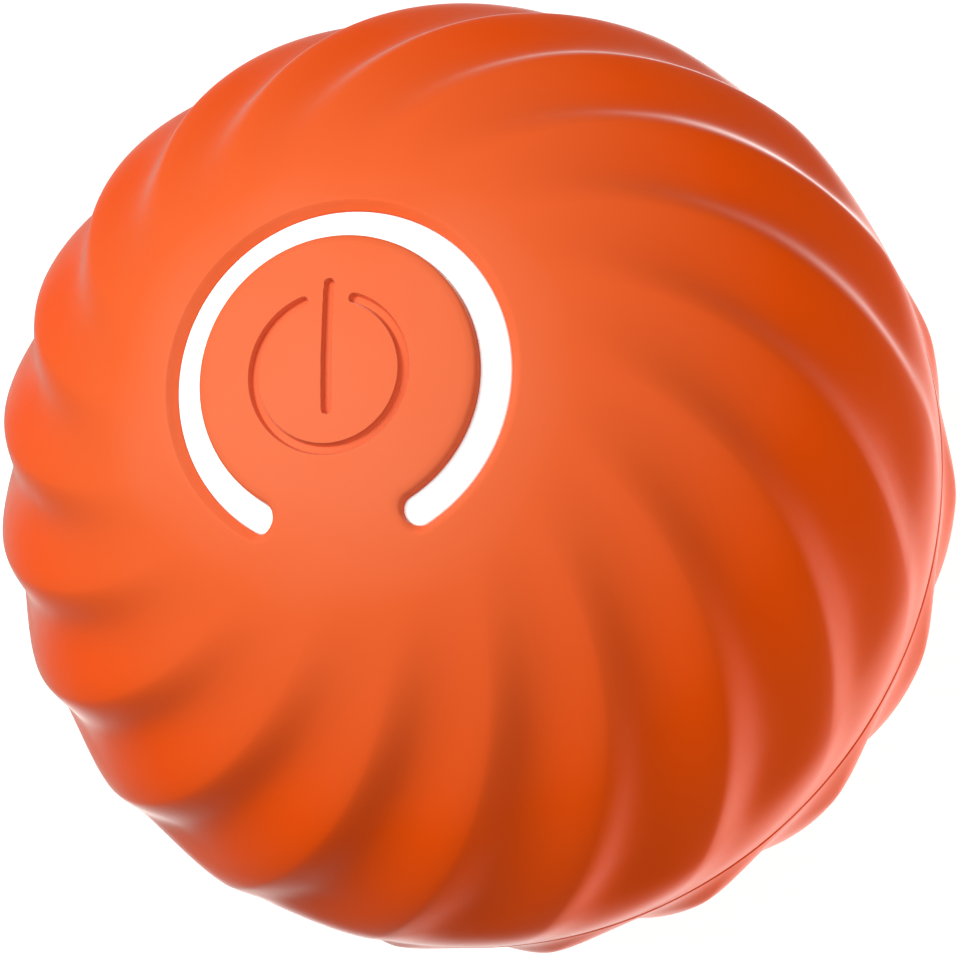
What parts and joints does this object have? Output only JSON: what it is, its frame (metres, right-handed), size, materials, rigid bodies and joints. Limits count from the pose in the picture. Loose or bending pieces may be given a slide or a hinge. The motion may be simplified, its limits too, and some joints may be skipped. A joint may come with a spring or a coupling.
{
  "type": "motion ball dog toy",
  "caption": "Ball for dogs with a swirl ribbed silicone cover, a lit power button and a battery driven eccentric weight that makes it roll and hop.",
  "frame": {"origin": "middle of the ball", "axes": "+Z out through the middle of the power button, -Y towards the soft neck of the button and the charging socket, +X to the right with the power symbol upright"},
  "size_m": [0.0594, 0.0588, 0.06],
  "materials": {
    "silicone": "soft matte silicone with a faint sheen",
    "light_guide": "frosted white light guide, lit",
    "shell_plastic": "fine moulded satin",
    "button_plastic": "fine moulded satin",
    "seal_rubber": "matte",
    "black_plastic": "matte",
    "grey_plastic": "moulded satin",
    "board": "solder mask",
    "led_body": "gloss",
    "steel": "bright drawn steel",
    "screw_steel": "zinc plated",
    "motor_steel": "nickel plated can",
    "nickel": "nickel strip",
    "weight_metal": "cast and tumbled",
    "brass": "turned",
    "gear_plastic": "moulded acetal",
    "cell_wrap": "shrink wrap over a metal can",
    "foam": "open cell foam",
    "wire_red": "insulation",
    "wire_black": "insulation"
  },
  "bodies": {
    "core": {"light_ring": "light_guide", "front_core_shell": "shell_plastic", "rear_core_shell": "shell_plastic", "core_seal": "seal_rubber", "switch_body": "black_plastic", "circuit_board": "board", "controller_chip": "black_plastic", "motion_sensor": "steel", "usb_socket": "steel", "usb_contact": "black_plastic", "chassis": "grey_plastic", "gearbox_cover": "grey_plastic", "motor_can": "motor_steel", "motor_end_cap": "shell_plastic", "idler_axle": "steel", "upper_bush": "brass", "lower_bush": "brass", "battery_cell": "cell_wrap", "battery_tab_plus": "nickel", "battery_tab_minus": "nickel", "battery_pad": "foam", "battery_wire_plus": "wire_red", "battery_wire_minus": "wire_black", "motor_wire_plus": "wire_red", "motor_wire_minus": "wire_black", "case_screw_1": "screw_steel", "case_screw_2": "screw_steel", "case_screw_3": "screw_steel", "case_screw_4": "screw_steel", "board_screw_1": "screw_steel", "board_screw_2": "screw_steel", "board_screw_3": "screw_steel", "board_screw_4": "screw_steel", "cover_screw_1": "screw_steel", "cover_screw_2": "screw_steel", "cover_screw_3": "screw_steel", "cover_screw_4": "screw_steel", "motor_screw_1": "screw_steel", "motor_screw_2": "screw_steel", "led_1": "led_body", "led_2": "led_body", "led_3": "led_body", "led_4": "led_body", "led_5": "led_body", "led_6": "led_body"},
    "front_sleeve": {"front_sleeve": "silicone"},
    "rear_sleeve": {"rear_sleeve": "silicone"},
    "power_button": {"power_button": "silicone"},
    "core_button": {"core_button": "button_plastic"},
    "switch_plunger": {"switch_plunger": "grey_plastic"},
    "weight_rotor": {"eccentric_weight": "weight_metal", "weight_screw": "screw_steel", "output_shaft": "steel", "output_gear": "gear_plastic"},
    "idler": {"idler_gear": "gear_plastic"},
    "motor_rotor": {"motor_shaft": "steel", "motor_pinion": "brass"}
  },
  "joints": [
    {"name": "front_sleeve_pull", "type": "slide", "parent": "core", "child": "front_sleeve", "axis": [0, 0, 1], "range_m": [0, 0.036]},
    {"name": "rear_sleeve_pull", "type": "slide", "parent": "core", "child": "rear_sleeve", "axis": [0, 0, -1], "range_m": [0, 0.036]},
    {"name": "power_button_press", "type": "hinge", "parent": "front_sleeve", "child": "power_button", "pos_m": [0, -0.00925, 0.0282], "axis": [-1, 0, 0], "range_deg": [0, 2], "stiffness_Nm_per_rad": 0.2},
    {"name": "core_button_slide", "type": "slide", "parent": "core", "child": "core_button", "axis": [0, 0, -1], "range_m": [0, 0.0004]},
    {"name": "switch_plunger_slide", "type": "slide", "parent": "core", "child": "switch_plunger", "axis": [0, 0, -1], "range_m": [0, 0.0004]},
    {"name": "weight_spin", "type": "hinge", "parent": "core", "child": "weight_rotor", "pos_m": [0, 0, -0.013], "axis": [0, 0, 1], "continuous": true},
    {"name": "idler_spin", "type": "hinge", "parent": "core", "child": "idler", "pos_m": [0.00768, 0.00443, -0.004], "axis": [0, 0, 1], "continuous": true},
    {"name": "motor_spin", "type": "hinge", "parent": "core", "child": "motor_rotor", "pos_m": [0, 0.00887, -0.0025], "axis": [0, 0, 1], "continuous": true}
  ],
  "couplings": [
    {"joint": "core_button_slide", "follows": "power_button_press", "m_per_rad": 0.00925},
    {"joint": "switch_plunger_slide", "follows": "power_button_press", "m_per_rad": 0.00925},
    {"joint": "idler_spin", "follows": "weight_spin", "ratio": -2.5},
    {"joint": "motor_spin", "follows": "weight_spin", "ratio": 6.25}
  ]
}
